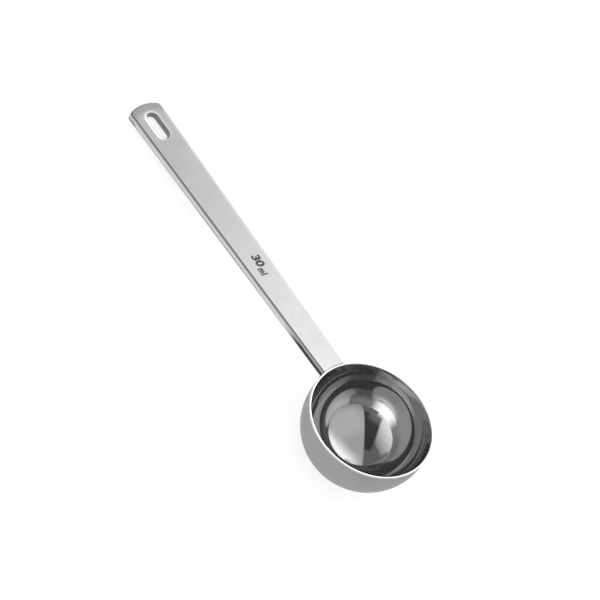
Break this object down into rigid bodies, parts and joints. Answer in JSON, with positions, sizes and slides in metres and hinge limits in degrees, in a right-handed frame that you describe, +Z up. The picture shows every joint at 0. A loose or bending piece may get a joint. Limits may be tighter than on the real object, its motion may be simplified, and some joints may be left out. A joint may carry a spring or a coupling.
{
  "type": "measuring spoon",
  "caption": "Stainless measuring spoon: a round drawn bowl with a short straight band, and a flat tapered bar handle with a hanging slot, welded level with the rim.",
  "frame": {"origin": "on the table under the middle of the spoon's box, lying as it rests on its bowl and the handle's tip", "axes": "+X from the handle's tip towards the bowl, +Y across the spoon, +Z up; the rim leans back towards the handle by 9.4 degrees"},
  "size_m": [0.1608, 0.0452, 0.0296],
  "materials": {
    "bowl_steel": "stainless steel sheet, mirror polished inside and on the rim, fine satin outside",
    "handle_steel": "stainless steel bar, bright polished with a faint lengthwise grain, softened edges",
    "weld_steel": "fine stainless weld metal, dressed smooth"
  },
  "bodies": {
    "root": {"bowl": "bowl_steel", "handle": "handle_steel", "weld": "weld_steel"}
  },
  "joints": []
}
